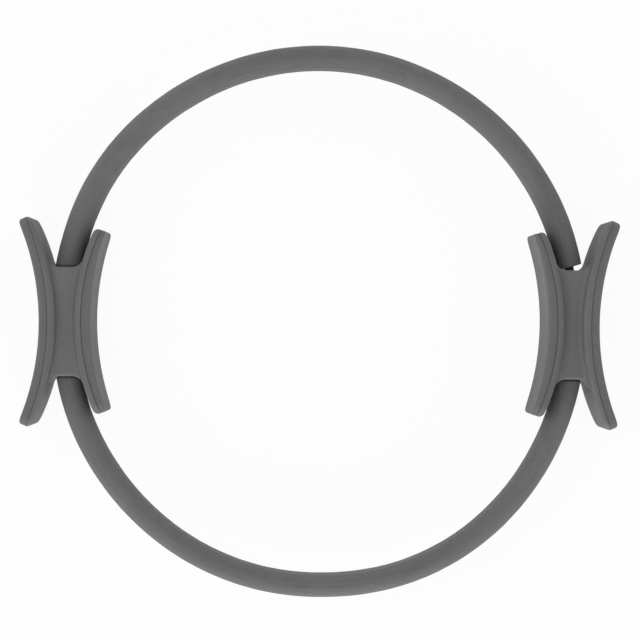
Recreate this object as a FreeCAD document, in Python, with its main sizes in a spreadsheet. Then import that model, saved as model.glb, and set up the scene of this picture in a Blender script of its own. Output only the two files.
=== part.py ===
import FreeCAD, Part
import math
import os
import re
import Sketcher

# A pilates ring that lies flat: a springy hoop in two halves, foam sleeves and two spool-shaped handles.
# X runs from the left handle to the right one, Y to the far side and Z up from the surface that it lies on.

# Driving dimensions in millimetres, angles in degrees
sizes = {
    # Hoop: two half circles whose centres stand off the line through the handles
    "strip_radius": 170.4,
    "crown_rise": 6.3,
    "strip_thickness": 4.5,
    "strip_width": 20.0,
    "strip_end_gap": 2.0,
    # Foam sleeves
    "sleeve_depth": 15.3,
    "sleeve_width": 32.0,
    "sleeve_end_gap": 0.8,
    "sleeve_end_round": 3.4,
    "cut_end_round": 1.7,
    # Handles: width along the ring's axis, and how far the right one has slid round the hoop
    "handle_width": 60.0,
    "right_turn": 0.8,
    "web_half_length": 36.3,
    "crotch_radius": 8.8,
    "valley_depth": 4.0,
    "valley_slope": 0.3,
    "valley_round": 3.0,
    "edge_round": 3.5,
    "corner_round": 8.0,
    "lip_round": 2.0,
    # Outer flange and its pad
    "outer_seat_out": 9.1,
    "outer_seat_radius": 174.6,
    "outer_flange": 5.0,
    "outer_flange_tip": 2.4,
    "outer_half_length": 69.4,
    "outer_pad_thickness": 5.6,
    # Inner flange and its pad
    "inner_seat_in": 12.8,
    "inner_seat_radius": 145.0,
    "inner_flange": 4.4,
    "inner_flange_tip": 4.2,
    "inner_half_length": 60.5,
    "inner_pad_thickness": 6.3,
    "inner_pad_tip": 3.3,
    "pad_inset": 0.4,
    "pad_round": 2.0,
    # Screws along X through the ends of the strips, with their nuts
    "screw_first_y": 9.0,
    "screw_spacing": 16.0,
    "screw_diameter": 4.0,
    "screw_end_in": 12.2,
    "head_seat_out": 5.6,
    "head_diameter": 7.6,
    "head_height": 2.6,
    "drive_across": 2.5,
    "drive_depth": 1.5,
    "nut_seat_in": 8.8,
    "nut_across": 7.0,
    "nut_height": 3.2,
    # Clearances, and how far a cut runs past what it cuts
    "fit_gap": 0.3,
    "seam_gap": 0.1,
    "parting_gap": 0.04,
    "overrun": 6.0,
}

# Lengths that follow from the driving dimensions
worked_out = {
    "middle_z": "handle_width / 2",
    "strip_outside": "strip_radius + strip_thickness / 2",
    "strip_inside": "strip_radius - strip_thickness / 2",
    "outer_seat_x": "strip_radius + outer_seat_out",
    "inner_seat_x": "strip_radius - inner_seat_in",
    "head_seat_x": "strip_radius + head_seat_out",
    "nut_seat_x": "strip_radius - nut_seat_in",
    "screw_end_x": "strip_radius - screw_end_in",
    "slot_outside": "strip_outside + fit_gap",
    "slot_inside": "strip_inside - fit_gap",
    "slot_width": "strip_width + 2 * fit_gap",
    "parting_outside": "strip_radius + parting_gap / 2",
    "parting_inside": "strip_radius - parting_gap / 2",
    "web_rise": "web_half_length - crown_rise",
    "parting_outside_x": "sqrt(parting_outside ^ 2 - web_rise ^ 2)",
    "parting_inside_x": "sqrt(parting_inside ^ 2 - web_rise ^ 2)",
    "cut_end": "web_half_length + overrun",
    "cut_rise": "cut_end - crown_rise",
    "slot_outside_x": "sqrt(slot_outside ^ 2 - cut_rise ^ 2)",
    "slot_inside_x": "sqrt(slot_inside ^ 2 - cut_rise ^ 2)",
    # The valley's edge lies just below the rounded rim of the flange
    "web_width": "handle_width - 2 * (edge_round + fit_gap + valley_depth)",
    "floor_z": "middle_z + web_width / 2",
    "floor_low_z": "middle_z - web_width / 2",
    "valley_top": "valley_depth + overrun",
    # Outer flange: its seat and its back are arcs about two centres outside the ring, so it thins to its tips
    "outer_centre_x": "outer_seat_x + outer_seat_radius",
    "outer_sin": "outer_half_length / outer_seat_radius",
    "outer_cos": "sqrt(1 - outer_sin ^ 2)",
    "outer_tip_x": "outer_centre_x - outer_seat_radius * outer_cos",
    "outer_rough": "outer_seat_radius - edge_round",
    "outer_rough_x": "outer_centre_x - outer_rough * outer_cos",
    "outer_rough_y": "outer_rough * outer_sin",
    "outer_back_x": "outer_tip_x - outer_flange_tip * outer_cos",
    "outer_back_y": "outer_half_length + outer_flange_tip * outer_sin",
    "outer_sag": "outer_back_x - outer_seat_x + outer_flange",
    "outer_flank": "(outer_back_y ^ 2 + outer_sag ^ 2) / (2 * outer_sag)",
    "outer_bend_x": "outer_seat_x - outer_flange + outer_flank",
    "outer_mid": "outer_flank - outer_flange / 2",
    "outer_trim_y": "outer_back_y + overrun",
    "outer_trim_x": "outer_centre_x - sqrt(outer_seat_radius ^ 2 - outer_trim_y ^ 2)",
    "outer_waste_x": "outer_trim_x + overrun",
    "crotch_y": "web_half_length + crotch_radius",
    "outer_reach": "sqrt((outer_flank + crotch_radius) ^ 2 - crotch_y ^ 2)",
    "outer_share": "outer_flank / (outer_flank + crotch_radius)",
    "outer_crotch_x": "outer_bend_x - outer_reach",
    "outer_spring_x": "outer_bend_x - outer_reach * outer_share",
    "outer_spring_y": "crotch_y * outer_share",
    "outer_root_share": "outer_mid / (outer_flank + crotch_radius)",
    "outer_root_x": "outer_bend_x - outer_reach * outer_root_share",
    "outer_root_y": "crotch_y * outer_root_share",
    "outer_far": "outer_bend_x - slot_inside_x + overrun",
    "outer_sweep": "asin((crotch_y + overrun) / outer_flank)",
    "outer_pad_back": "outer_seat_radius - seam_gap",
    "outer_pad_face": "outer_pad_back - outer_pad_thickness",
    # Inner flange: the same, about two centres inside the ring
    "inner_centre_x": "inner_seat_x - inner_seat_radius",
    "inner_sin": "inner_half_length / inner_seat_radius",
    "inner_cos": "sqrt(1 - inner_sin ^ 2)",
    "inner_tip_x": "inner_centre_x + inner_seat_radius * inner_cos",
    "inner_rough": "inner_seat_radius - edge_round",
    "inner_rough_x": "inner_centre_x + inner_rough * inner_cos",
    "inner_rough_y": "inner_rough * inner_sin",
    "inner_back_x": "inner_tip_x + inner_flange_tip * inner_cos",
    "inner_back_y": "inner_half_length + inner_flange_tip * inner_sin",
    "inner_sag": "inner_seat_x + inner_flange - inner_back_x",
    "inner_flank": "(inner_back_y ^ 2 + inner_sag ^ 2) / (2 * inner_sag)",
    "inner_bend_x": "inner_seat_x + inner_flange - inner_flank",
    "inner_mid": "inner_flank - inner_flange / 2",
    "inner_trim_y": "inner_back_y + overrun",
    "inner_trim_x": "inner_centre_x + sqrt(inner_seat_radius ^ 2 - inner_trim_y ^ 2)",
    "inner_waste_x": "inner_trim_x - overrun",
    "inner_reach": "sqrt((inner_flank + crotch_radius) ^ 2 - crotch_y ^ 2)",
    "inner_share": "inner_flank / (inner_flank + crotch_radius)",
    "inner_crotch_x": "inner_bend_x + inner_reach",
    "inner_spring_x": "inner_bend_x + inner_reach * inner_share",
    "inner_spring_y": "crotch_y * inner_share",
    "inner_root_share": "inner_mid / (inner_flank + crotch_radius)",
    "inner_root_x": "inner_bend_x + inner_reach * inner_root_share",
    "inner_root_y": "crotch_y * inner_root_share",
    "inner_far": "slot_outside - inner_bend_x + overrun",
    "inner_sweep": "asin((crotch_y + overrun) / inner_flank)",
    # Inner pad: its face is flatter than its back, so it thins towards its tips, and its ends slant half as
    # much as the flange does
    "inner_pad_back": "inner_seat_radius - seam_gap",
    "inner_pad_back_x": "inner_centre_x + inner_pad_back * inner_cos",
    "inner_pad_back_y": "inner_pad_back * inner_sin",
    "inner_pad_tip_x": "inner_pad_back_x - inner_pad_tip * inner_cos",
    "inner_pad_tip_y": "inner_pad_back_y - inner_pad_tip * inner_sin / 2",
    "inner_pad_face_x": "inner_seat_x - seam_gap - inner_pad_thickness",
    "inner_pad_sag": "inner_pad_face_x - inner_pad_tip_x",
    "inner_pad_face": "(inner_pad_tip_y ^ 2 + inner_pad_sag ^ 2) / (2 * inner_pad_sag)",
    "pad_width": "handle_width - 2 * pad_inset",
    # Sleeves
    "sleeve_half_depth": "sleeve_depth / 2",
    "sleeve_straight": "sleeve_width / 2 - sleeve_half_depth",
    "sleeve_top": "sleeve_width / 2",
    "bore_half_depth": "strip_thickness / 2 + fit_gap",
    "bore_half_width": "strip_width / 2 + fit_gap",
    "sleeve_end_y": "web_half_length + sleeve_end_gap",
    "sleeve_cut_angle": "90 deg - asin((sleeve_end_y - crown_rise) / strip_radius)",
    "sleeve_long_angle": "90 deg - asin((web_half_length - sleeve_depth - crown_rise) / strip_radius)",
    "trim_outside": "strip_radius + sleeve_depth",
    "trim_inside": "strip_radius - sleeve_depth - overrun",
    # Screws and nuts
    "screw_second_y": "screw_first_y + screw_spacing",
    "screw_radius": "screw_diameter / 2",
    "shank_hole": "screw_radius + fit_gap",
    "strip_hole": "shank_hole + seam_gap",
    "shank_length": "head_seat_x + seam_gap - screw_end_x",
    "head_radius": "head_diameter / 2",
    "head_hole": "head_radius + fit_gap",
    "head_face_x": "head_seat_x + seam_gap",
    "head_top_x": "head_face_x + head_height",
    "drive_corner": "drive_across / sqrt(3)",
    "nut_face_x": "nut_seat_x - seam_gap",
    "nut_corner": "nut_across / sqrt(3)",
    "nut_bore": "screw_radius + seam_gap",
    "pocket_corner": "(nut_across + 2 * fit_gap) / sqrt(3)",
    "turn_shift": "strip_radius * sin(right_turn)",
}

tiny = 1e-6
doc = FreeCAD.newDocument("pilates_ring")
sheet = doc.addObject("Spreadsheet::Sheet", "sizes")
for row, (name, number) in enumerate(sizes.items(), start=1):
    sheet.set(f"A{row}", name)
    sheet.set(f"B{row}", str(number))
    sheet.setAlias(f"B{row}", name)
for row, (name, formula) in enumerate(worked_out.items(), start=1):
    sheet.set(f"D{row}", name)
    sheet.set(f"E{row}", "=" + formula)
    sheet.setAlias(f"E{row}", name)
doc.recompute()


def bound(text):
    """The expression with each size's name pointed at the sheet."""
    def point(word):
        return f"sizes.{word[0]}" if hasattr(sheet, word[0]) else word[0]
    return re.sub(r"[a-z_]+", point, text)


def value(text):
    return float(sheet.evalExpression(bound(text)))


def new_body(label, turn="0"):
    """A body that stands turned about the ring's axis."""
    body = doc.addObject("PartDesign::Body", label)
    body.Label = label
    body.AllowCompound = True
    body.Placement = FreeCAD.Placement(FreeCAD.Vector(), FreeCAD.Rotation(FreeCAD.Vector(0, 0, 1), 0))
    body.setExpression("Placement.Rotation.Angle", bound(turn))
    return body


def new_sketch(body, plane, name, offset="0", shift="0"):
    """A sketch on one of the body's origin planes, moved along its normal by offset, or sideways by shift."""
    sketch = body.newObject("Sketcher::SketchObject", f"{body.Label}_{name}")
    support = next(item for item in body.Origin.OriginFeatures if item.Role == plane)
    sketch.AttachmentSupport = [(support, "")]
    sketch.MapMode = "FlatFace"
    sketch.setExpression("AttachmentOffset.Base.z", bound(offset))
    sketch.setExpression("AttachmentOffset.Base.x", bound(shift))
    return sketch


def pin_point(sketch, curve, end, point):
    """Dimension one end of a curve from the sketch's origin."""
    for kind, text in zip(("DistanceX", "DistanceY"), point):
        index = sketch.addConstraint(Sketcher.Constraint(kind, -1, 1, curve, end, value(text)))
        sketch.setExpression(f"Constraints[{index}]", bound(text))


def outline(sketch, corners, bends=None):
    """A closed chain through the corners. bends gives the radius of the arc after a corner: plus turns left."""
    bends = bends or {}
    links = []
    for number, corner in enumerate(corners):
        after = corners[(number + 1) % len(corners)]
        start = FreeCAD.Vector(value(corner[0]), value(corner[1]), 0)
        stop = FreeCAD.Vector(value(after[0]), value(after[1]), 0)
        if number not in bends:
            curve = sketch.addGeometry(Part.LineSegment(start, stop), False)
            links.append((curve, 1, 2))
            continue
        left = not bends[number].startswith("-")
        size = bends[number].lstrip("-")
        radius = value(size)
        chord = stop - start
        across = FreeCAD.Vector(-chord.y, chord.x, 0).normalize()
        height = math.sqrt(max(radius ** 2 - chord.Length ** 2 / 4, 0))
        centre = (start + stop) / 2 + across * (height if left else -height)
        angles = [math.atan2(point.y - centre.y, point.x - centre.x) for point in (start, stop)]
        if not left:
            angles.reverse()
        circle = Part.Circle(centre, FreeCAD.Vector(0, 0, 1), radius)
        curve = sketch.addGeometry(Part.ArcOfCircle(circle, angles[0], angles[1]), False)
        links.append((curve, 1, 2) if left else (curve, 2, 1))
        index = sketch.addConstraint(Sketcher.Constraint("Radius", curve, radius))
        sketch.setExpression(f"Constraints[{index}]", bound(size))
    for number, (curve, begin, end) in enumerate(links):
        following, first, last = links[(number + 1) % len(links)]
        sketch.addConstraint(Sketcher.Constraint("Coincident", curve, end, following, first))
        pin_point(sketch, curve, begin, corners[number])


def circle(sketch, centre, radius):
    middle = FreeCAD.Vector(value(centre[0]), value(centre[1]), 0)
    curve = sketch.addGeometry(Part.Circle(middle, FreeCAD.Vector(0, 0, 1), value(radius)), False)
    pin_point(sketch, curve, 3, centre)
    index = sketch.addConstraint(Sketcher.Constraint("Radius", curve, value(radius)))
    sketch.setExpression(f"Constraints[{index}]", bound(radius))


def hexagon(sketch, centre, corner):
    """A hexagon with two corners along the sketch's first axis."""
    along, up = centre
    half, rise = f"{corner} / 2", f"{corner} * sqrt(3) / 2"
    outline(sketch, [
        (f"{along} + {corner}", up),
        (f"{along} + {half}", f"{up} + {rise}"),
        (f"{along} - {half}", f"{up} + {rise}"),
        (f"{along} - {corner}", up),
        (f"{along} - {half}", f"{up} - {rise}"),
        (f"{along} + {half}", f"{up} - {rise}"),
    ])


def extrude(kind, sketch, length, side="Symmetric", backwards=False):
    """Pad or pocket a sketch, and make sure that it changed the body."""
    body = sketch.getParentGeoFeatureGroup()
    before = body.Shape.Volume if body.Tip and not body.Shape.isNull() else 0
    feature = body.newObject(f"PartDesign::{kind}", f"{sketch.Label}_{kind.lower()}")
    feature.Profile = sketch
    feature.SideType = side
    feature.Reversed = backwards
    feature.setExpression("Length", bound(length))
    body.Tip = feature
    doc.recompute()
    change = body.Shape.Volume - before
    if (change > 0) != (kind == "Pad") or change == 0:
        raise RuntimeError(f"{feature.Label} changes the volume by {change}")
    return feature


def turn_profile(kind, sketch, first, second):
    """Revolve or groove a sketch about its own vertical axis, to one angle each way."""
    body = sketch.getParentGeoFeatureGroup()
    before = body.Shape.Volume if body.Tip and not body.Shape.isNull() else 0
    feature = body.newObject(f"PartDesign::{kind}", f"{sketch.Label}_{kind.lower()}")
    feature.Profile = sketch
    feature.ReferenceAxis = (sketch, ["V_Axis"])
    feature.Type = "TwoAngles"
    feature.setExpression("Angle", bound(first))
    feature.setExpression("Angle2", bound(second))
    body.Tip = feature
    doc.recompute()
    change = body.Shape.Volume - before
    if (change > 0) != (kind == "Revolution") or change == 0:
        raise RuntimeError(f"{feature.Label} changes the volume by {change}")
    return feature


def round_edges(body, name, radius, wanted):
    """Fillet the edges of the body's last feature that the test picks."""
    base = body.Tip
    picked = [f"Edge{number}" for number, edge in enumerate(base.Shape.Edges, start=1) if wanted(edge)]
    feature = body.newObject("PartDesign::Fillet", f"{body.Label}_{name}")
    feature.Base = (base, picked)
    feature.setExpression("Radius", bound(radius))
    body.Tip = feature
    doc.recompute()
    return feature


def lies_at(edge, heights):
    """Whether an edge lies flat at one of the heights."""
    box = edge.BoundBox
    return box.ZLength < tiny and any(abs(box.ZMin - height) < tiny for height in heights)


def on_corner(edge, heights):
    """Whether an edge is the straight corner of a plate's end at one of the heights."""
    return isinstance(edge.Curve, Part.Line) and lies_at(edge, heights)


def on_arc(edge, centre, radius):
    """Whether an edge lies on an upright cylinder about a point on the X axis."""
    ends = [vertex.Point for vertex in edge.Vertexes]
    return all(abs(math.hypot(end.x - centre, end.y) - radius) < tiny * radius for end in ends)


def round_end(body, name, radius, turn):
    """Fillet the rim of the flat end that looks along minus Y, turned by an angle about Z."""
    away = FreeCAD.Rotation(FreeCAD.Vector(0, 0, 1), value(turn)).multVec(FreeCAD.Vector(0, -1, 0))
    flat = [face for face in body.Tip.Shape.Faces if isinstance(face.Surface, Part.Plane)]
    ends = [face for face in flat if face.normalAt(0, 0).getAngle(away) < tiny]
    rim = [edge for face in ends for edge in face.OuterWire.Edges]
    round_edges(body, name, radius, lambda edge: any(edge.isSame(part) for part in rim))


def make_strip(label, side):
    """Half of the springy hoop: a flat bar bent to a half circle with short straight ends and screw holes."""
    body = new_body(label)
    plan = new_sketch(body, "XY_Plane", "plan", "middle_z")
    foot, knee = f"{side}strip_end_gap / 2", f"{side}crown_rise"
    outside, inside = ("-strip_outside", "strip_inside") if side else ("strip_outside", "-strip_inside")
    outline(plan, [
        ("strip_inside", foot),
        ("strip_outside", foot),
        ("strip_outside", knee),
        ("0", f"{side}(crown_rise + strip_outside)"),
        ("-strip_outside", knee),
        ("-strip_outside", foot),
        ("-strip_inside", foot),
        ("-strip_inside", knee),
        ("0", f"{side}(crown_rise + strip_inside)"),
        ("strip_inside", knee),
    ], {2: outside, 3: outside, 7: inside, 8: inside})
    extrude("Pad", plan, "strip_width")
    for end, shift, forwards in (("left", "0", False), ("right", "turn_shift", True)):
        holes = new_sketch(body, "YZ_Plane", f"{end}_holes")
        for place in screw_places:
            circle(holes, (f"{side}{place} - {shift}", "middle_z"), "strip_hole")
        extrude("Pocket", holes, "strip_outside + overrun", "One side", forwards)


def make_sleeve(label, turn, angles, trims):
    """A foam tube of full-round section, turned about the centre of its half hoop and trimmed to the webs."""
    body = new_body(label, turn)
    section = new_sketch(body, "YZ_Plane", "section", "0", "crown_rise")
    middle = "strip_radius"
    low, high = f"{middle} - sleeve_half_depth", f"{middle} + sleeve_half_depth"
    outline(section, [
        (high, "middle_z - sleeve_straight"),
        (high, "middle_z + sleeve_straight"),
        (middle, "middle_z + sleeve_top"),
        (low, "middle_z + sleeve_straight"),
        (low, "middle_z - sleeve_straight"),
        (middle, "middle_z - sleeve_top"),
    ], {number: "sleeve_half_depth" for number in (1, 2, 4, 5)})
    outline(section, [
        (f"{middle} + bore_half_depth", "middle_z - bore_half_width"),
        (f"{middle} + bore_half_depth", "middle_z + bore_half_width"),
        (f"{middle} - bore_half_depth", "middle_z + bore_half_width"),
        (f"{middle} - bore_half_depth", "middle_z - bore_half_width"),
    ])
    turn_profile("Revolution", section, *angles)
    for end, side, slide in trims:
        trim = new_sketch(body, "XY_Plane", f"{end}_trim", "middle_z")
        trim.setExpression("AttachmentOffset.Rotation.Angle", bound(slide))
        outline(trim, [
            (f"{side}trim_inside", "-overrun"),
            (f"{side}trim_outside", "-overrun"),
            (f"{side}trim_outside", "sleeve_end_y"),
            (f"{side}trim_inside", "sleeve_end_y"),
        ])
        extrude("Pocket", trim, "sleeve_width + overrun")
        round_end(body, f"{end}_round", "sleeve_end_round", slide)
    if len(trims) < 2:
        round_end(body, "cut_round", "cut_end_round", "90 deg - sleeve_cut_angle")


def make_flange(body, side, way):
    """A curved plate with a rounded rim, cut down to its seat. way is X from the centres of its curves."""
    crescent = new_sketch(body, "XY_Plane", "crescent", "middle_z")
    turn = "-" if way == "+" else ""
    outline(crescent, [
        (f"{side}_rough_x", f"{turn}{side}_rough_y"),
        (f"{side}_back_x", f"{turn}{side}_back_y"),
        (f"{side}_back_x", f"-({turn}{side}_back_y)"),
        (f"{side}_rough_x", f"-({turn}{side}_rough_y)"),
    ], {1: f"{side}_flank", 3: f"-{side}_rough"})
    extrude("Pad", crescent, "handle_width")
    sides = (0, value("handle_width"))
    round_edges(body, "corner_round", "corner_round", lambda edge: on_corner(edge, sides))
    centre, flank = value(f"{side}_bend_x"), value(f"{side}_flank")
    round_edges(body, "edge_round", "edge_round", lambda edge: on_arc(edge, centre, flank))
    seat = new_sketch(body, "XY_Plane", "seat", "middle_z")
    outline(seat, [
        (f"{side}_trim_x", f"-({turn}{side}_trim_y)"),
        (f"{side}_trim_x", f"{turn}{side}_trim_y"),
        (f"{side}_waste_x", f"{turn}{side}_trim_y"),
        (f"{side}_waste_x", f"-({turn}{side}_trim_y)"),
    ], {0: f"-{side}_seat_radius"})
    extrude("Pocket", seat, "handle_width + overrun")


def make_web(body, side, way):
    """Half of the web: U-shaped ends where the hoop enters, and a valley dished out above and below."""
    parting = "parting_outside" if side == "outer" else "parting_inside"
    turn = "-" if way == "+" else ""
    bend = "-" if side == "outer" else ""
    ends = [
        (f"{side}_root_x", f"{turn}{side}_root_y"),
        (f"{side}_spring_x", f"{turn}{side}_spring_y"),
        (f"{side}_crotch_x", f"{turn}web_half_length"),
        (f"{parting}_x", f"{turn}web_half_length"),
        (parting, f"{turn}crown_rise"),
    ]
    plan = new_sketch(body, "XY_Plane", "web", "middle_z")
    outline(plan, ends + [(x, f"-({y})") for x, y in reversed(ends)], {
        1: "-crotch_radius", 3: bend + parting, 5: bend + parting, 7: "-crotch_radius",
        9: f"-{side}_mid",
    })
    extrude("Pad", plan, "web_width + 2 * valley_depth")
    valley = new_sketch(body, "XZ_Plane", "valley", "0", f"{side}_bend_x")
    for floor, up in (("floor_z", "+"), ("floor_low_z", "-")):
        outline(valley, [
            (f"{way}({side}_flank + seam_gap)", f"{floor} {up} valley_top"),
            (f"{way}({side}_flank + seam_gap)", f"{floor} {up} valley_depth"),
            (f"{way}({side}_flank + valley_slope)", f"{floor} {up} valley_round"),
            (f"{way}({side}_flank + valley_slope + valley_round)", floor),
            (f"{way}{side}_far", floor),
            (f"{way}{side}_far", f"{floor} {up} valley_top"),
        ], {2: ("" if way == up else "-") + "valley_round"})
    turn_profile("Groove", valley, f"{side}_sweep", f"{side}_sweep")
    round_edges(body, "lip_round", "lip_round", lambda edge: on_lip(edge, side))


def on_lip(edge, side):
    """Whether an edge runs along a U-shaped end of the web, on the valley's floor or the round beside it."""
    middle = edge.valueAt((edge.FirstParameter + edge.LastParameter) / 2)
    depth = abs(middle.z - value("middle_z")) - value("web_width / 2")
    if edge.BoundBox.ZLength > value("web_width / 2") or not -tiny < depth < value("valley_round"):
        return False
    along, across = abs(middle.y) - value("crotch_y"), middle.x - value(f"{side}_crotch_x")
    on_flat = abs(abs(middle.y) - value("web_half_length")) < tiny
    return on_flat or abs(math.hypot(along, across) - value("crotch_radius")) < tiny * value("crotch_y")


def make_outer_shell(label, turn):
    """The moulded half with the outer flange: it carries the outer pad and clamps the strips from outside."""
    body = new_body(label, turn)
    make_flange(body, "outer", "-")
    make_web(body, "outer", "-")
    slot = new_sketch(body, "XY_Plane", "slot", "middle_z")
    outline(slot, [
        ("slot_outside_x", "-cut_end"),
        ("slot_outside", "-crown_rise"),
        ("slot_outside", "crown_rise"),
        ("slot_outside_x", "cut_end"),
        ("slot_inside_x - overrun", "cut_end"),
        ("slot_inside_x - overrun", "-cut_end"),
    ], {0: "slot_outside", 2: "slot_outside"})
    extrude("Pocket", slot, "slot_width")
    drill_shanks(body)
    heads = new_sketch(body, "YZ_Plane", "heads", "head_seat_x")
    for place in screw_rows:
        circle(heads, (place, "middle_z"), "head_hole")
    extrude("Pocket", heads, "outer_tip_x - head_seat_x", "One side", True)


def make_inner_shell(label, turn):
    """The moulded half with the inner flange: it carries the inner pad and clamps the strips from inside."""
    body = new_body(label, turn)
    make_flange(body, "inner", "+")
    make_web(body, "inner", "+")
    slot = new_sketch(body, "XY_Plane", "slot", "middle_z")
    outline(slot, [
        ("slot_inside_x", "cut_end"),
        ("slot_inside", "crown_rise"),
        ("slot_inside", "-crown_rise"),
        ("slot_inside_x", "-cut_end"),
        ("slot_outside_x + overrun", "-cut_end"),
        ("slot_outside_x + overrun", "cut_end"),
    ], {0: "-slot_inside", 2: "-slot_inside"})
    extrude("Pocket", slot, "slot_width")
    drill_shanks(body)
    nuts = new_sketch(body, "YZ_Plane", "nut_pockets", "nut_seat_x")
    for place in screw_rows:
        hexagon(nuts, (place, "middle_z"), "pocket_corner")
    extrude("Pocket", nuts, "nut_seat_x - inner_tip_x", "One side", False)


def drill_shanks(body):
    shanks = new_sketch(body, "YZ_Plane", "shanks")
    for place in screw_rows:
        circle(shanks, (place, "middle_z"), "shank_hole")
    extrude("Pocket", shanks, "outer_tip_x", "One side", True)


def make_outer_pad(label, turn):
    """An even sheet of foam on the outer flange, cut square to its curve at both ends."""
    body = new_body(label, turn)
    plan = new_sketch(body, "XY_Plane", "plan", "middle_z")
    corners = [
        (f"outer_centre_x - {arc} * outer_cos", f"{sign}{arc} * outer_sin")
        for arc, sign in (("outer_pad_face", "-"), ("outer_pad_face", ""), ("outer_pad_back", ""),
                          ("outer_pad_back", "-"))
    ]
    outline(plan, corners, {0: "-outer_pad_face", 2: "outer_pad_back"})
    extrude("Pad", plan, "pad_width")
    round_pad(body, "outer_centre_x", "outer_pad_face")


def make_inner_pad(label, turn):
    """A foam pad on the inner flange that thins towards its tips."""
    body = new_body(label, turn)
    plan = new_sketch(body, "XY_Plane", "plan", "middle_z")
    outline(plan, [
        ("inner_pad_tip_x", "inner_pad_tip_y"),
        ("inner_pad_tip_x", "-inner_pad_tip_y"),
        ("inner_pad_back_x", "-inner_pad_back_y"),
        ("inner_pad_back_x", "inner_pad_back_y"),
    ], {0: "-inner_pad_face", 2: "inner_pad_back"})
    extrude("Pad", plan, "pad_width")
    round_pad(body, "inner_pad_face_x - inner_pad_face", "inner_pad_face")


def round_pad(body, centre, face):
    """Round a pad's corners, then the rim of its face, which is an arc about a point on the X axis."""
    sides = (value("pad_inset"), value("handle_width - pad_inset"))
    round_edges(body, "corner_round", "corner_round", lambda edge: on_corner(edge, sides))
    round_edges(body, "pad_round", "pad_round", lambda edge: on_arc(edge, value(centre), value(face)))


def make_screws(label, turn, side):
    """Two screws along X, heads outside, each with a hexagon socket."""
    body = new_body(label, turn)
    shanks = new_sketch(body, "YZ_Plane", "shanks", "screw_end_x")
    heads = new_sketch(body, "YZ_Plane", "heads", "head_face_x")
    drives = new_sketch(body, "YZ_Plane", "drives", "head_top_x")
    for place in screw_places:
        centre = (f"{side}{place}", "middle_z")
        circle(shanks, centre, "screw_radius")
        circle(heads, centre, "head_radius")
        hexagon(drives, centre, "drive_corner")
    extrude("Pad", shanks, "shank_length", "One side")
    extrude("Pad", heads, "head_height", "One side")
    extrude("Pocket", drives, "drive_depth", "One side")


def make_nuts(label, turn, side):
    """Two hexagon nuts in their pockets."""
    body = new_body(label, turn)
    plan = new_sketch(body, "YZ_Plane", "plan", "nut_face_x")
    for place in screw_places:
        centre = (f"{side}{place}", "middle_z")
        hexagon(plan, centre, "nut_corner")
        circle(plan, centre, "nut_bore")
    extrude("Pad", plan, "nut_height", "One side", True)


screw_places = ("screw_first_y", "screw_second_y")
screw_rows = [side + place for side in ("", "-") for place in screw_places]
far_side, near_side = "", "-"

make_strip("far_strip", far_side)
make_strip("near_strip", near_side)
make_sleeve("far_sleeve", "0", ("sleeve_long_angle", "sleeve_cut_angle"), [("left", "-", "0")])
make_sleeve("near_sleeve", "180", ("sleeve_long_angle", "sleeve_long_angle"),
            [("left", "", "0"), ("right", "-", "-right_turn")])
for hand, turn in (("left", "180"), ("right", "-right_turn")):
    make_outer_shell(f"{hand}_outer_shell", turn)
    make_inner_shell(f"{hand}_inner_shell", turn)
    make_outer_pad(f"{hand}_outer_pad", turn)
    make_inner_pad(f"{hand}_inner_pad", turn)
    # The left handle is the right one turned half round, so its near side is the other way
    for name, side in (("far", far_side), ("near", near_side)):
        own_side = side if hand == "right" else {"": "-", "-": ""}[side]
        make_screws(f"{hand}_{name}_screws", turn, own_side)
        make_nuts(f"{hand}_{name}_nuts", turn, own_side)

doc.recompute()
for item in doc.Objects:
    if "Invalid" in item.State or "Error" in item.State:
        raise RuntimeError(f"{item.Label} failed: {item.State}")
bodies = [item for item in doc.Objects if item.TypeId == "PartDesign::Body"]
for body in bodies:
    if body.Shape.isNull() or not body.Shape.isValid():
        raise RuntimeError(f"{body.Label} has no valid shape")

os.makedirs("parts", exist_ok=True)
for body in bodies:
    body.Shape.exportStep(f"parts/{body.Label}.step")
    print(body.Label, len(body.Shape.Solids), "solids,", round(body.Shape.Volume), "cubic mm")
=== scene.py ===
import math
import bpy
import numpy as np
from mathutils import Matrix, Vector


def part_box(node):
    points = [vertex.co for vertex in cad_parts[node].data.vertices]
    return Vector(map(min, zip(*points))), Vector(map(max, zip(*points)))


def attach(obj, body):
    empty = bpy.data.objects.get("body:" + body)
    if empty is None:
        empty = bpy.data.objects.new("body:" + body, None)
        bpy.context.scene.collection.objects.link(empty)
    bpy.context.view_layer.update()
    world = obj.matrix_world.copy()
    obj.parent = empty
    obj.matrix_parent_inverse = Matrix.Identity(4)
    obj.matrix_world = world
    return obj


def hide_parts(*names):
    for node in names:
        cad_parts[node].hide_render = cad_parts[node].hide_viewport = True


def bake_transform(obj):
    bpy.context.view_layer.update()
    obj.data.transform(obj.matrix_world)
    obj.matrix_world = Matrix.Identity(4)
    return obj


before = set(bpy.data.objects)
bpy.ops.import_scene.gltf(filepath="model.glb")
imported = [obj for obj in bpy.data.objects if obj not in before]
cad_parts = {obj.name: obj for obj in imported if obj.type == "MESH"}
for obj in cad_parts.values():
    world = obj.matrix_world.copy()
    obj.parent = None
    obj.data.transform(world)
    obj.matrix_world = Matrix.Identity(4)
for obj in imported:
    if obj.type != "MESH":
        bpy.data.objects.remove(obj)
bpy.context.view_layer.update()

scene = bpy.context.scene
scene.view_settings.view_transform = "Standard"
mm = 0.001
print("frame loaded:", len(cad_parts), "nodes")

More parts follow.
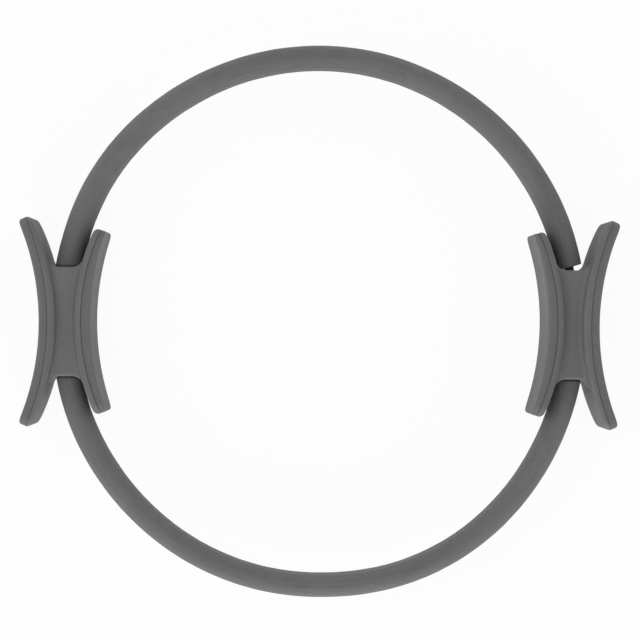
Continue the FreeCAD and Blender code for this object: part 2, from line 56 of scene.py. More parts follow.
# The hoop's centre line is two half circles about (0, rise) and (0, -rise), read from the strip's box
stripLow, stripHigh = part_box("far_strip")
stripThickness = 4.5 * mm
hoop = dict(
    radius=stripHigh.x - stripThickness / 2,
    rise=stripHigh.y - stripHigh.x,
    midZ=(stripLow.z + stripHigh.z) / 2,
    endY=stripLow.y,
    span=math.radians(77),             # from a crown to a handle
)
handle = dict(
    turns=dict(left=180, right=-0.8),  # degrees about the ring's axis; the right one has slid a little
    webEnd=36.3 * mm,
)
# Each flange's seat is an arc: where it lies at the handle's middle, its radius, and its way from the centre
flanges = dict(
    outer=dict(seatX=hoop["radius"] + 9.1 * mm, seat=174.6 * mm, way=-1),
    inner=dict(seatX=hoop["radius"] - 12.8 * mm, seat=145 * mm, way=1),
)
for flange in flanges.values():
    flange["centre"] = flange["seatX"] - flange["way"] * flange["seat"]


def gridFaces(rows, columns, wrapRows):
    # quads between each grid point and the next row and column; columns close on themselves
    r, c = np.meshgrid(np.arange(rows if wrapRows else rows - 1), np.arange(columns), indexing="ij")
    nextR, nextC = (r + 1) % rows * columns, (c + 1) % columns
    return np.stack([r * columns + c, nextR + c, nextR + nextC, r * columns + nextC], -1).reshape(-1, 4)


def barFaces(rows, columns):
    # a bar's skin and its two flat ends, where quads join each point of a ring to the one across from it
    i = np.arange(columns // 2 - 1)
    end = np.stack([i, i + 1, columns - 2 - i, columns - 1 - i], -1)
    return np.concatenate([gridFaces(rows, columns, False), end, end[:, ::-1] + (rows - 1) * columns])


def fromMiddle(steps, first=0.08):
    # shares of a flat stretch, from just off its middle almost to its edge
    return np.linspace(first, 1, steps, endpoint=False)


def makePiece(name, points, faces, marks, sharp=40):
    # whole arrays into a mesh with its marks as attributes; edges past the sharp angle stay crisp
    flat = points.reshape(-1, 3)
    a, b, c, d = (flat[faces[:, i]] for i in range(4))
    volume = np.einsum("ij,ij->", a, np.cross(b, c) + np.cross(c, d)) / 6
    mesh = bpy.data.meshes.new(name)
    mesh.from_pydata(flat.tolist(), [], (faces if volume > 0 else faces[:, ::-1]).tolist())
    mesh.polygons.foreach_set("use_smooth", np.ones(len(mesh.polygons), bool))
    mesh.set_sharp_from_angle(angle=math.radians(sharp))
    for mark, values in marks.items():
        single = values.shape == points.shape[:-1]
        attribute = mesh.attributes.new(mark, "FLOAT" if single else "FLOAT_VECTOR", "POINT")
        attribute.data.foreach_set("value" if single else "vector", values.astype(np.float32).ravel())
    mesh.update()
    piece = bpy.data.objects.new(name, mesh)
    scene.collection.objects.link(piece)
    return piece


def turned(points, degrees):
    # points turned about the ring's axis
    c, s = math.cos(math.radians(degrees)), math.sin(math.radians(degrees))
    x, y = points[..., 0], points[..., 1]
    return np.stack([x * c - y * s, x * s + y * c, points[..., 2]], -1)


def ripple(u, v, seed, waves=7):
    # a smooth unevenness of about -1 to 1: a sum of ever shorter waves with fixed odd phases
    u, v = np.broadcast_arrays(u, v)
    k = np.arange(1, waves + 1).reshape(-1, *[1] * u.ndim)
    swell = np.sin(k * u + 2.4 * k * k + seed) * np.cos(0.7 * k * v + 1.3 * k + 2 * seed)
    return (swell / k ** 0.7).sum(0) / 2.2


# Node helpers: a value that is a socket is linked, any other is set
def addNode(tree, kind, inputs=None, **settings):
    made = tree.nodes.new(kind)
    for key, value in settings.items():
        setattr(made, key, value)
    for key, value in (inputs or {}).items():
        if isinstance(value, bpy.types.NodeSocket):
            tree.links.new(value, made.inputs[key])
        else:
            made.inputs[key].default_value = value
    return made


def calc(tree, operation, *terms):
    return addNode(tree, "ShaderNodeMath", dict(enumerate(terms)), operation=operation).outputs[0]


def ramp(tree, value, low, high, toLow=0.0, toHigh=1.0):
    # a smooth step of value from low to high
    inputs = {"Value": value, "From Min": low, "From Max": high, "To Min": toLow, "To Max": toHigh}
    return addNode(tree, "ShaderNodeMapRange", inputs, interpolation_type="SMOOTHSTEP").outputs["Result"]


def noise(tree, place, scale, detail):
    inputs = {"Vector": place, "Scale": scale, "Detail": detail}
    return addNode(tree, "ShaderNodeTexNoise", inputs).outputs["Fac"]


def upright(tree):
    # 1 where the surface faces along the ring's axis, 0 on its walls
    normal = addNode(tree, "ShaderNodeTexCoord").outputs["Normal"]
    return calc(tree, "ABSOLUTE", addNode(tree, "ShaderNodeSeparateXYZ", {0: normal}).outputs["Z"])


def markOf(tree, name, kind="Fac"):
    return addNode(tree, "ShaderNodeAttribute", attribute_name=name).outputs[kind]


def newGroup(name, inputs, outputs):
    # inputs are numbers with a default, or vectors where the default is None
    tree = bpy.data.node_groups.new(name, "ShaderNodeTree")
    for label, default in inputs.items():
        kind = "NodeSocketVector" if default is None else "NodeSocketFloat"
        made = tree.interface.new_socket(label, in_out="INPUT", socket_type=kind)
        if default is not None:
            made.default_value = default
    for label in outputs:
        tree.interface.new_socket(label, in_out="OUTPUT", socket_type="NodeSocketFloat")
    return tree, tree.nodes.new("NodeGroupInput").outputs, tree.nodes.new("NodeGroupOutput").inputs


def placeGroup(tree, group, inputs):
    return addNode(tree, "ShaderNodeGroup", inputs, node_tree=group).outputs


clouds = dict(fineScale=5.3, fineShare=0.5, gain=4.0)


def makeMottle():
    # cloudy patches: two sizes of noise, as a tone about 1
    p = clouds
    tree, given, out = newGroup("mottle", {"Place": None, "Scale": 40.0, "Spread": 0.06}, ["Tone"])
    coarse = noise(tree, given["Place"], given["Scale"], detail=3.0)
    fine = noise(tree, given["Place"], calc(tree, "MULTIPLY", given["Scale"], p["fineScale"]), detail=2.0)
    both = calc(tree, "ADD", coarse, calc(tree, "MULTIPLY", fine, p["fineShare"]))
    mean = 0.5 + 0.5 * p["fineShare"]
    spread = calc(tree, "MULTIPLY", given["Spread"], p["gain"])
    swing = calc(tree, "MULTIPLY", calc(tree, "SUBTRACT", both, mean), spread)
    tree.links.new(calc(tree, "ADD", swing, 1.0), out["Tone"])
    return tree


cellForm = dict(pit=(0.05, 0.55), toothScale=2.7)


def makeGrain():
    # small closed cells with a finer tooth between them, as a height and as a mask of the pits
    p = cellForm
    tree, given, out = newGroup("grain", {"Place": None, "Scale": 900.0, "Tooth": 0.5}, ["Height", "Pits"])
    cells = addNode(tree, "ShaderNodeTexVoronoi", {"Vector": given["Place"], "Scale": given["Scale"]})
    pits = ramp(tree, cells.outputs["Distance"], *p["pit"], 1.0, 0.0)
    tooth = noise(tree, given["Place"], calc(tree, "MULTIPLY", given["Scale"], p["toothScale"]), detail=2.0)
    tree.links.new(calc(tree, "SUBTRACT", calc(tree, "MULTIPLY", tooth, given["Tooth"]), pits), out["Height"])
    tree.links.new(pits, out["Pits"])
    return tree


lineForm = dict(contrast=(0.3, 0.7))


def makeDrawLines():
    # faint lines along the length: noise squeezed across the section and stretched along the path
    tree, given, out = newGroup("drawLines", {"Lay": None, "Scale": 420.0, "Stretch": 0.03}, ["Lines"])
    stretch = addNode(tree, "ShaderNodeCombineXYZ", {"X": given["Stretch"], "Y": 1.0, "Z": 1.0}).outputs[0]
    place = addNode(tree, "ShaderNodeVectorMath", {0: given["Lay"], 1: stretch}, operation="MULTIPLY")
    waves = noise(tree, place.outputs[0], given["Scale"], detail=3.0)
    tree.links.new(ramp(tree, waves, *lineForm["contrast"]), out["Lines"])
    return tree


rubForm = dict(rise=(0.25, 0.65), fall=(0.8, 0.99), contrast=(0.35, 0.7))


def makeRimRub():
    # rubbed rims: strongest where the surface turns over an edge, broken up by noise
    p = rubForm
    tree, given, out = newGroup("rimRub", {"Place": None, "Scale": 160.0}, ["Mask"])
    facing = upright(tree)
    over = calc(tree, "MULTIPLY", ramp(tree, facing, *p["rise"]), ramp(tree, facing, *p["fall"], 1.0, 0.0))
    patches = ramp(tree, noise(tree, given["Place"], given["Scale"], detail=4.0), *p["contrast"])
    tree.links.new(calc(tree, "MULTIPLY", over, patches), out["Mask"])
    return tree


mottle, grain, drawLines, rimRub = makeMottle(), makeGrain(), makeDrawLines(), makeRimRub()


# Finishes: patch, cell, crease and line are texture scales; names that end in Tone are factors on the colour;
# rough is the roughness at the two ends of gloss
def newFinish(name, p):
    # a Principled material with its fixed values on the shader's own sockets, and the tone of its patches
    material = bpy.data.materials.new(name)
    material.use_nodes = True
    tree = material.node_tree
    shader = next(node for node in tree.nodes if node.type == "BSDF_PRINCIPLED")
    for key, value in p["fixed"].items():
        shader.inputs[key].default_value = value
    place = addNode(tree, "ShaderNodeTexCoord").outputs["Object"]
    patches = placeGroup(tree, mottle, {"Place": place, "Scale": p["patch"], "Spread": p["spread"]})["Tone"]
    return material, tree, shader, place, patches


def closeFinish(tree, shader, p, tones, gloss, height):
    # Base Color is the colour times every tone
    factor = tones[0]
    for tone in tones[1:]:
        factor = calc(tree, "MULTIPLY", factor, tone)
    tint = addNode(tree, "ShaderNodeVectorMath", {0: p["colour"], "Scale": factor}, operation="SCALE")
    bump = addNode(tree, "ShaderNodeBump", {"Height": height, "Distance": p["bump"]})
    tree.links.new(tint.outputs[0], shader.inputs["Base Color"])
    tree.links.new(ramp(tree, gloss, *p["gloss"], *p["rough"]), shader.inputs["Roughness"])
    tree.links.new(bump.outputs["Normal"], shader.inputs["Normal"])


sleeveSkin = dict(
    colour=(0.123, 0.1255, 0.128), bump=0.13 * mm,
    fixed={"Sheen Weight": 0.12, "Sheen Roughness": 0.5},
    patch=18.0, spread=0.05, gloss=(0.9, 1.1), rough=(0.92, 0.8),
    cell=1100.0, pitTone=(1.04, 0.88),
    lineTone=(0.965, 1.03), lineHeight=0.8,
    crease=560.0, creaseStretch=0.07, creaseFrom=0.72,
    creaseFade=(40 * mm, 100 * mm, 0.86, 0.95),  # distances from the crown, and a crease's tone there
    # wall shade: painted shade, the tone of the walls against the faces along the axis
    wallShadeUpTo=0.65, wallShadeTone=0.76,
)


def makeSleeveFoam():
    # soft foam drawn out as a tube: faint lines, creases that fade from the crowns, and walls darkened by
    # painted shade
    p = sleeveSkin
    material, tree, shader, place, patches = newFinish("sleeveFoam", p)
    cells = placeGroup(tree, grain, {"Place": place, "Scale": p["cell"]})
    lay = markOf(tree, "lay", "Vector")
    lines = placeGroup(tree, drawLines, {"Lay": lay})["Lines"]
    folds = {"Lay": lay, "Scale": p["crease"], "Stretch": p["creaseStretch"]}
    creases = placeGroup(tree, drawLines, folds)["Lines"]
    fromCrown = addNode(tree, "ShaderNodeSeparateXYZ", {0: lay}).outputs["X"]
    tones = [
        patches,
        ramp(tree, lines, 0.0, 1.0, *p["lineTone"]),
        ramp(tree, creases, p["creaseFrom"], 1.0, 1.0, ramp(tree, fromCrown, *p["creaseFade"])),
        ramp(tree, cells["Pits"], 0.0, 1.0, *p["pitTone"]),
        # painted shade: the walls are darker than the faces along the ring's axis
        ramp(tree, upright(tree), 0.0, p["wallShadeUpTo"], p["wallShadeTone"], 1.0),
    ]
    height = calc(tree, "ADD", cells["Height"], calc(tree, "MULTIPLY", lines, p["lineHeight"]))
    closeFinish(tree, shader, p, tones, patches, height)
    return material


padSkin = dict(
    colour=(0.113, 0.1155, 0.118), bump=0.12 * mm,
    fixed={"Sheen Weight": 0.1, "Sheen Roughness": 0.5},
    patch=26.0, spread=0.05, gloss=(0.9, 1.1), rough=(0.9, 0.78),
    cell=1500.0, pitTone=(1.04, 0.88),
    rubTone=1.06,
    # seam shade: painted shade along the seam with the flange
    seamShadeMark=(0.1, 0.9), seamShadeTone=0.6,
)


def makePadFoam():
    # denser foam: rubbed a little paler on its edges, with painted shade along the seam where it meets its
    # flange
    p = padSkin
    material, tree, shader, place, patches = newFinish("padFoam", p)
    cells = placeGroup(tree, grain, {"Place": place, "Scale": p["cell"]})
    tones = [
        patches,
        ramp(tree, markOf(tree, "rub"), 0.0, 1.0, 1.0, p["rubTone"]),
        # painted shade darkens the back edge along the seam
        ramp(tree, markOf(tree, "seamShade"), *p["seamShadeMark"], 1.0, p["seamShadeTone"]),
        ramp(tree, cells["Pits"], 0.0, 1.0, *p["pitTone"]),
    ]
    closeFinish(tree, shader, p, tones, patches, cells["Height"])
    return material


shellSkin = dict(
    colour=(0.146, 0.149, 0.152), bump=0.05 * mm,
    fixed={"Specular IOR Level": 0.35},
    patch=22.0, spread=0.035, gloss=(0.92, 1.08), rough=(0.7, 0.58),
    cell=2200.0, tooth=0.9,
    rubTone=1.07,
    # seam shade: painted shade along the line where the pad sits
    seamShadeReach=0.25 * mm, seamShadeTone=0.6,
    # rim shade: painted shade on upward faces near the seat
    rimShadeFacing=(0.4, 0.95), rimShadeReach=(3.5 * mm, 6.5 * mm), rimShadeTone=0.83,
)


def makeShellPlastic(name, centre, seat):
    # moulded plastic with a fine tooth; painted shade darkens it where the flange meets its pad, and darkens
    # the upward faces of the rim beside it
    p = shellSkin
    material, tree, shader, place, patches = newFinish(name, p)
    tooth = placeGroup(tree, grain, {"Place": place, "Scale": p["cell"], "Tooth": p["tooth"]})
    rubbed = placeGroup(tree, rimRub, {"Place": place})["Mask"]
    # away is the distance from the seat's arc, seen along the ring's axis
    flat = addNode(tree, "ShaderNodeVectorMath", {0: place, 1: (1, 1, 0)}, operation="MULTIPLY").outputs[0]
    reach = addNode(tree, "ShaderNodeVectorMath", {0: flat, 1: centre}, operation="DISTANCE").outputs["Value"]
    away = calc(tree, "ABSOLUTE", calc(tree, "SUBTRACT", reach, seat))
    beside = ramp(tree, away, *p["rimShadeReach"], 1.0, 0.0)
    # painted shade: upward faces within reach of the seat are darkened
    rimShade = calc(tree, "MULTIPLY", ramp(tree, upright(tree), *p["rimShadeFacing"]), beside)
    tones = [
        patches,
        ramp(tree, rubbed, 0.0, 1.0, 1.0, p["rubTone"]),
        # painted shade along the seat, where the pad meets the flange
        ramp(tree, away, 0.0, p["seamShadeReach"], p["seamShadeTone"], 1.0),
        ramp(tree, rimShade, 0.0, 1.0, 1.0, p["rimShadeTone"]),
    ]
    closeFinish(tree, shader, p, tones, patches, tooth["Height"])
    return material


stripSkin = dict(
    colour=(0.016, 0.016, 0.017), bump=0.02 * mm,
    fixed={"Specular IOR Level": 0.4},
    patch=30.0, spread=0.1, gloss=(0.0, 1.0), rough=(0.42, 0.58),
    line=900.0, lineStretch=0.01, lineTone=(0.85, 1.15),
    rubTone=1.6,
)


def makeStripBlack():
    # black springy strip: fine lines along its length, greyer where its edges rub
    p = stripSkin
    material, tree, shader, _, patches = newFinish("stripBlack", p)
    drawn = {"Lay": markOf(tree, "lay", "Vector"), "Scale": p["line"], "Stretch": p["lineStretch"]}
    lines = placeGroup(tree, drawLines, drawn)["Lines"]
    tones = [
        patches,
        ramp(tree, lines, 0.0, 1.0, *p["lineTone"]),
        ramp(tree, markOf(tree, "rub"), 0.0, 1.0, 1.0, p["rubTone"]),
    ]
    closeFinish(tree, shader, p, tones, lines, lines)
    return material


zincSkin = dict(
    colour=(0.52, 0.52, 0.50), bump=0.01 * mm,
    fixed={"Metallic": 1.0},
    patch=260.0, spread=0.08, gloss=(0.85, 1.15), rough=(0.42, 0.3),
    cell=3000.0, tooth=0.4,
)


def makeZinc():
    # plated steel: cloudy patches that shift its gloss, and a fine tooth
    p = zincSkin
    material, tree, shader, place, patches = newFinish("zincSteel", p)
    tooth = placeGroup(tree, grain, {"Place": place, "Scale": p["cell"], "Tooth": p["tooth"]})
    closeFinish(tree, shader, p, [patches], patches, tooth["Height"])
    return material


sleeveFoam, padFoam, stripBlack, zincSteel = makeSleeveFoam(), makePadFoam(), makeStripBlack(), makeZinc()
print("materials ready")

# Foam sleeves: a full-round tube over the strip, in quarters that meet at the crowns
sleeveLow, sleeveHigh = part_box("far_sleeve")
sleeve = dict(
    depth=2 * (sleeveHigh.y - hoop["rise"] - hoop["radius"]),
    width=sleeveHigh.z - sleeveLow.z,
    boreDepth=5.1 * mm, boreWidth=20.6 * mm,
    endGap=0.3 * mm,                   # foam to web
    endRound=1.6 * mm,                 # pressed ends
    cutAngle=79.6, cutLean=0.5,        # degrees from the crown to the end that was cut short and askew
    cutRound=0.6 * mm,
    along=140, sides=10, bends=26, backAlong=40, endSteps=9,
    uneven=0.1 * mm,
    unevenAlong=21, unevenUp=400,      # phase of its longest wave for a radian along and for a metre up
    unevenFade=12,                     # dies out over one part in this many at both ends
)


def bulge(angle, amount, lean):
    # how far the hoop is out of round: one squared sine from crown to handle, leaning to one of them
    return amount * np.sin(math.pi * np.clip(angle / hoop["span"], 0, 1) ** lean) ** 2


def makeSleeve(name, own):
    # rings run from the crown along the skin, over the rounded end, across it, and back along the bore
    p, half = sleeve, sleeve["depth"] / 2
    # one ring of the skin is a slot shape: straight outside, round on top, straight inside, round below
    s = np.linspace(-1, 1, p["sides"], endpoint=False)
    a = np.linspace(0, math.pi, p["bends"], endpoint=False)
    still, ones = np.zeros(p["sides"]), np.ones(p["bends"])
    depth = np.concatenate([still + 1, np.cos(a), still - 1, -np.cos(a)])
    lift = np.concatenate([still, np.sin(a), still, -np.sin(a)])
    core = np.concatenate([s, ones, -s, -ones]) * (p["width"] / 2 - half)
    # one ring of the bore is a rectangle whose points keep in step with the skin's
    b = np.linspace(1, -1, p["bends"], endpoint=False)
    boreDepth = np.concatenate([still + 1, b, still - 1, -b]) * p["boreDepth"] / 2
    boreLift = np.concatenate([s, ones, -s, -ones]) * p["boreWidth"] / 2
    endRound = p["cutRound"] if own["cut"] else p["endRound"]
    slid = handle["turns"]["right"] if own["x"] > 0 else 0

    def endAngle(radius):
        # where an arc of this radius ends: at a cut that leans from the radius, or at a plane beside the web
        if own["cut"]:
            inside = (hoop["radius"] + half - radius) / p["depth"]
            return np.radians(p["cutAngle"] + p["cutLean"] * inside)
        lean = -math.radians(slid) * own["x"] * own["y"]
        return lean + np.arccos((handle["webEnd"] + p["endGap"] - hoop["rise"] * math.cos(lean)) / radius)

    # t runs from the crown to the end, and f turns a quarter circle over the end
    f = np.concatenate([np.zeros(p["along"]), np.linspace(0, math.pi / 2, p["endSteps"])[1:]])[:, None]
    t = np.minimum(1, np.arange(len(f)) / (p["along"] - 1))[:, None]
    crownFat, gripFat = own["fat"]
    fat = crownFat + (gripFat - crownFat) * t * t * (3 - 2 * t)
    inset, setBack = endRound * (1 - np.cos(f)) - fat / 2, endRound * (1 - np.sin(f))
    radius = hoop["radius"] + depth * (half - inset)
    z = core + lift * (half - inset)
    angle = (endAngle(radius) - setBack / radius) * t
    fade = np.clip(p["unevenFade"] * np.minimum(t, 1 - t), 0, 1)
    swell = p["uneven"] * fade * ripple(angle * p["unevenAlong"], z * p["unevenUp"], own["x"] + 2 * own["y"])
    radius, z = radius + swell * depth, z + swell * lift
    back = np.linspace(1, 0, p["backAlong"])[:, None]
    boreRadius = hoop["radius"] + boreDepth + 0 * back
    radius = np.concatenate([radius, boreRadius])
    angle = np.concatenate([angle, endAngle(boreRadius) * back])
    radius = radius + bulge(angle, *own["bend"])
    z = np.concatenate([z, boreLift + 0 * back])
    points = np.stack([
        own["x"] * radius * np.sin(angle),
        own["y"] * (hoop["rise"] + radius * np.cos(angle)),
        hoop["midZ"] + z,
    ], -1)
    lay = np.stack([angle * hoop["radius"], radius - hoop["radius"], z], -1)
    return makePiece(name, points, gridFaces(*radius.shape, True), dict(lay=lay))


# The springy strip: a flat bar that runs on straight into the handle
strip = dict(
    width=stripHigh.z - stripLow.z,
    edge=0.6 * mm,
    along=100, straight=6, edgeSteps=6, wallShares=(0.15, 0.5),
)


def stripRing():
    # the bar's section, a rectangle with round edges: from the middle of its back round the lower edges to
    # the middle of its face, then the same mirrored; out is the distance from the back
    e, w, steps = strip["edge"], strip["width"] / 2, strip["edgeSteps"]
    f = np.linspace(0, math.pi / 2, steps)
    g, wall = fromMiddle(steps), np.array(strip["wallShares"])
    out = np.concatenate([
        0 * g,
        e * (1 - np.cos(f)),
        e + wall * (stripThickness - 2 * e),
        stripThickness - e * (1 - np.sin(f)),
        stripThickness + 0 * g,
    ])
    high = np.concatenate([
        -g * (w - e),
        -(w - e) - e * np.sin(f),
        -w + 0 * wall,
        -(w - e) - e * np.cos(f),
        -g[::-1] * (w - e),
    ])
    rub = np.repeat([0, 1, 0], [2 * steps + len(wall), steps, steps])  # on the face's edges
    return np.append(out, out[::-1]), np.append(high, -high[::-1]), np.append(rub, rub[::-1])


def makeStrip(name, own):
    # rings follow a quarter circle from the crown, then drop straight to the end inside the handle
    p = strip
    angle = np.append(np.linspace(0, math.pi / 2, p["along"]), np.full(p["straight"], math.pi / 2))[:, None]
    fall = np.append(np.zeros(p["along"]), np.linspace(0, 1, p["straight"] + 1)[1:])[:, None]
    drop = fall * (hoop["rise"] - hoop["endY"])
    out, high, rub = (row + 0 * angle for row in stripRing())
    radius = hoop["radius"] - stripThickness / 2 + out + bulge(angle, *own["bend"])
    points = np.stack([
        own["x"] * radius * np.sin(angle),
        own["y"] * (hoop["rise"] + radius * np.cos(angle) - drop),
        hoop["midZ"] + high,
    ], -1)
    lay = np.stack([angle * hoop["radius"] + drop + 0 * out, out, high], -1)
    return makePiece(name, points, barFaces(*out.shape), dict(rub=rub, lay=lay))


# Each quarter of the hoop runs from a crown to its end in a handle
# bend: bulge and its lean; fat: how much deeper the foam is at the crown and at the handle; cut: cut short
quarters = dict(
    far_left=dict(
        x=-1, y=1, grip="left_handle", cut=False,
        bend=(0.8 * mm, 2), fat=(0, 1.2 * mm),
    ),
    far_right=dict(
        x=1, y=1, grip="right_handle", cut=True,
        bend=(-0.3 * mm, 1), fat=(0, 0.4 * mm),
    ),
    near_left=dict(
        x=-1, y=-1, grip="left_handle", cut=False,
        bend=(-0.4 * mm, 1.5), fat=(-0.6 * mm, 0.3 * mm),
    ),
    near_right=dict(
        x=1, y=-1, grip="right_near_fixings", cut=False,
        bend=(1.6 * mm, 0.75), fat=(-0.6 * mm, 0),
    ),
)
for name, own in quarters.items():
    arc = name.split("_")[0]
    foam, spring = makeSleeve(f"{name}_sleeve", own), makeStrip(f"{name}_strip", own)
    for piece, node, slot, material in (
        (foam, f"{arc}_sleeve", "sleeve_foam", sleeveFoam),
        (spring, f"{arc}_strip", "strip", stripBlack),
    ):
        piece.data.materials.append(material)
        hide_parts(node)
        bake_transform(piece)
print("hoop ready")

# Foam pads on the flanges: firm slabs with a slight crown, crisp where they are glued down
padLow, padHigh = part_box("left_outer_pad")
pad = dict(
    width=padHigh.z - padLow.z,
    gap=0.1 * mm,                      # the glue line
    cornerRound=8 * mm, faceRound=2 * mm, backRound=0.12 * mm,
    unevenEdge=0.25,                   # share by which the face's round edge wanders
    unevenAlong=95,                    # phase of its longest wave for a metre along
    crown=0.35 * mm,
    rubReach=1.6,                      # in rounds of the face's edge
    seedStep=2.5,                      # keeps the four pads' edges unlike
    along=150, endSteps=16, across=26, backSteps=6, edgeSteps=5, wallShares=(0.04, 0.3, 0.7),
    # slant: how far the ends lean from square to the arc, 0, towards square to the handle, 1
    outer=dict(half=69.4 * mm, thickness=5.6 * mm, tip=5.6 * mm, slant=0),
    inner=dict(half=60.5 * mm, thickness=6.3 * mm, tip=3.3 * mm, slant=0.5),
)


def makePad(hand, side, seed):
    # a slab wrapped on its flange's arc; its outline is a rectangle with round corners, and its face drops
    # over the edge as a quarter circle of the distance inwards from that outline
    p, own, flange, corner = pad, pad[side], flanges[side], pad["cornerRound"]
    back = flange["seat"] - p["gap"]
    endAngle = math.asin(own["half"] / flange["seat"])
    half, core = endAngle * back, p["width"] / 2 - corner
    # rows along the pad: even steps, then closer over the round corners
    over = half - corner * (1 - np.sin(np.linspace(0, math.pi / 2, p["endSteps"])))
    even = np.linspace(corner - half, half - corner, p["along"] + 2)[1:-1]
    place = np.concatenate([-over[::-1], even, over])[:, None]
    angle, still = place / back, 0 * place
    past = np.clip(np.abs(place) - half + corner, 0, None)
    wide = core + np.sqrt(corner ** 2 - past ** 2)
    # the face is an arc through the middle and the two tips; thickness runs towards the flange's centre
    tipReach, midReach = back - own["tip"], back - own["thickness"]
    sag = midReach - tipReach * math.cos(endAngle)
    face = ((tipReach * math.sin(endAngle)) ** 2 + sag ** 2) / (2 * sag)
    shift = midReach - face
    thickness = back - shift * np.cos(angle) - np.sqrt(face ** 2 - (shift * np.sin(angle)) ** 2)

    def halfRing(sign):
        # from the middle of the back over its edge, up the wall, and over the face's edge to its middle
        b, r = p["backRound"], p["faceRound"]
        r = r * (1 + p["unevenEdge"] * ripple(place * p["unevenAlong"], still, seed + sign))
        f = np.linspace(0, math.pi / 2, p["edgeSteps"])
        g, wall = fromMiddle(p["backSteps"]), np.array(p["wallShares"])
        across = np.sin(np.linspace(0, math.pi / 2, p["across"]))[:0:-1]
        z = wide * across
        inwards = corner - np.hypot(past, np.clip(z - core, 0, None))
        drop = r - np.sqrt(r ** 2 - np.clip(r - inwards, 0, r) ** 2)
        crown = p["crown"] * (1 - across ** 2) * (1 - (place / half) ** 2)
        # four stretches: back, its edge, wall and face; out is the distance from the back
        up = b + wall * (thickness - r - b)
        out = [still * g, still + b * (1 - np.cos(f)), up, thickness - drop + crown]
        high = [g * (wide - b), wide - b + b * np.sin(f), wide + 0 * wall, z]
        # seamShade is 1 on the back and its edge, where painted shade darkens the seam
        seamShade = [still * g + 1, still * f + 1, still * wall, 0 * z]
        rub = [still * g, still * f, still * wall, np.clip(p["rubReach"] - inwards / r, 0, 1)]
        return [np.concatenate(stretch, 1) for stretch in (out, high, seamShade, rub)]

    low, top = halfRing(-1), halfRing(1)
    low[1] = -low[1]
    out, high, seamShade, rub = (np.append(a, b[:, ::-1], 1) for a, b in zip(low, top))
    reach = back - out
    # slanted ends: points further out from the back also move further along
    angle = angle * (1 + own["slant"] * math.tan(endAngle) / endAngle * out / reach)
    points = np.stack([
        flange["centre"] + flange["way"] * reach * np.cos(angle),
        reach * np.sin(angle),
        hoop["midZ"] + high,
    ], -1)
    points = turned(points, handle["turns"][hand])
    return makePiece(f"{hand}_{side}_foam", points, barFaces(*out.shape), dict(seamShade=seamShade, rub=rub))


grips = [(hand, side) for hand in handle["turns"] for side in flanges]
for order, (hand, side) in enumerate(grips):
    piece = makePad(hand, side, pad["seedStep"] * order)
    piece.data.materials.append(padFoam)
    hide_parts(f"{hand}_{side}_pad")
    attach(piece, f"{hand}_handle")
print("pads ready")


def refinish(node, material):
    # a CAD node keeps its shape and gets a better material
    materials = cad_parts[node].data.materials
    materials.clear()
    materials.append(material)


for hand, side in grips:
    turn = Matrix.Rotation(math.radians(handle["turns"][hand]), 3, "Z")
    centre = turn @ Vector((flanges[side]["centre"], 0, 0))
    plastic = makeShellPlastic(f"{hand}{side.title()}Plastic", centre, flanges[side]["seat"])
    refinish(f"{hand}_{side}_shell", plastic)
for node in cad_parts:
    if node.endswith(("screws", "nuts")):
        refinish(node, zincSteel)
print("shells and fixings ready")

# Stage: a pale floor that keeps a faint shadow, and soft light that is strongest low from the near side
stage = dict(
    floorHalf=3.0, floorGrey=0.9, shadowShare=0.06,
    horizon=1.4, zenith=0.46,
    # place in metres, size and power of each lamp
    lamps=dict(key=((-0.1, -1.1, 0.35), 0.6, 4.4), side=((-0.5, 0.1, 1.0), 0.6, 2)),
)
white = (1, 1, 1, 1)


def cameraOnly(tree):
    # 1 for rays from the camera, from gloss and through glass
    path = addNode(tree, "ShaderNodeLightPath").outputs
    both = calc(tree, "MAXIMUM", path["Is Camera Ray"], path["Is Glossy Ray"])
    return calc(tree, "MAXIMUM", both, path["Is Transmission Ray"])


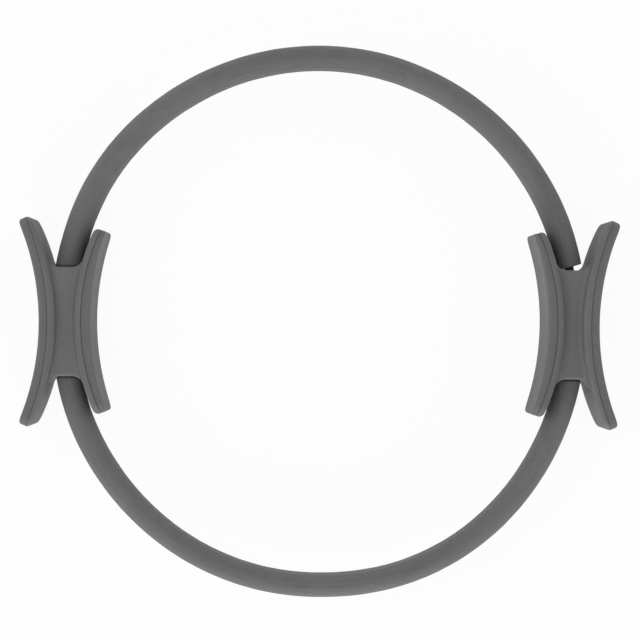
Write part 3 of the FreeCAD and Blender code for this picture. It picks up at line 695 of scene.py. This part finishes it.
def makeFloor():
    # a square that is matte for light; to the camera it is white, with a share of the matte for the shadow
    h, g = stage["floorHalf"], stage["floorGrey"]
    mesh = bpy.data.meshes.new("floor")
    mesh.from_pydata([(-h, -h, 0), (h, -h, 0), (h, h, 0), (-h, h, 0)], [], [(0, 1, 2, 3)])
    floor = bpy.data.objects.new("floor", mesh)
    scene.collection.objects.link(floor)
    material = bpy.data.materials.new("paleFloor")
    material.use_nodes = True
    tree = material.node_tree
    tree.nodes.clear()
    matte = addNode(tree, "ShaderNodeBsdfDiffuse", {"Color": (g, g, g, 1)}).outputs[0]
    glow = addNode(tree, "ShaderNodeEmission", {"Color": white, "Strength": 1.0}).outputs[0]
    shown = addNode(tree, "ShaderNodeMixShader", {"Fac": stage["shadowShare"], 1: glow, 2: matte}).outputs[0]
    mixed = addNode(tree, "ShaderNodeMixShader", {"Fac": cameraOnly(tree), 1: matte, 2: shown}).outputs[0]
    addNode(tree, "ShaderNodeOutputMaterial", {"Surface": mixed})
    mesh.materials.append(material)


def makeWorld():
    # white to the camera; for light, paler at the horizon than overhead
    world = bpy.data.worlds.new("studio")
    scene.world = world
    world.use_nodes = True
    tree = world.node_tree
    tree.nodes.clear()
    way = addNode(tree, "ShaderNodeTexCoord").outputs["Generated"]
    up = calc(tree, "ABSOLUTE", addNode(tree, "ShaderNodeSeparateXYZ", {0: way}).outputs["Z"])
    level = ramp(tree, up, 0.0, 1.0, stage["horizon"], stage["zenith"])
    light = addNode(tree, "ShaderNodeBackground", {"Color": white, "Strength": level}).outputs[0]
    plain = addNode(tree, "ShaderNodeBackground", {"Color": white, "Strength": 1.0}).outputs[0]
    mixed = addNode(tree, "ShaderNodeMixShader", {"Fac": cameraOnly(tree), 1: light, 2: plain}).outputs[0]
    addNode(tree, "ShaderNodeOutputWorld", {"Surface": mixed})


def makeLamp(name, place, size, power):
    # a square panel that faces the ring
    lamp = bpy.data.lights.new(name, "AREA")
    lamp.energy, lamp.size = power, size
    panel = bpy.data.objects.new(name, lamp)
    panel.location = place
    panel.rotation_euler = (-panel.location).to_track_quat("-Z", "Y").to_euler()
    scene.collection.objects.link(panel)


camera = dict(
    distance=1.6,                      # metres above the hoop's middle
    offset=(-18 * mm, 0), aim=(0.6 * mm, 1 * mm),
    lens=134, sensor=36,
)


def makeCamera():
    # over the ring, looking down, the far side up in the picture
    data = bpy.data.cameras.new("camera")
    data.lens, data.sensor_width = camera["lens"], camera["sensor"]
    made = bpy.data.objects.new("camera", data)
    eye = Vector((*camera["offset"], hoop["midZ"] + camera["distance"]))
    back = (eye - Vector((*camera["aim"], hoop["midZ"]))).normalized()
    right = Vector((0, 1, 0)).cross(back).normalized()
    facing = Matrix((right, back.cross(right), back)).transposed()
    made.matrix_world = Matrix.Translation(eye) @ facing.to_4x4()
    scene.collection.objects.link(made)
    scene.camera = made


makeFloor()
makeWorld()
for name, settings in stage["lamps"].items():
    makeLamp(name, *settings)
makeCamera()
print("stage ready")
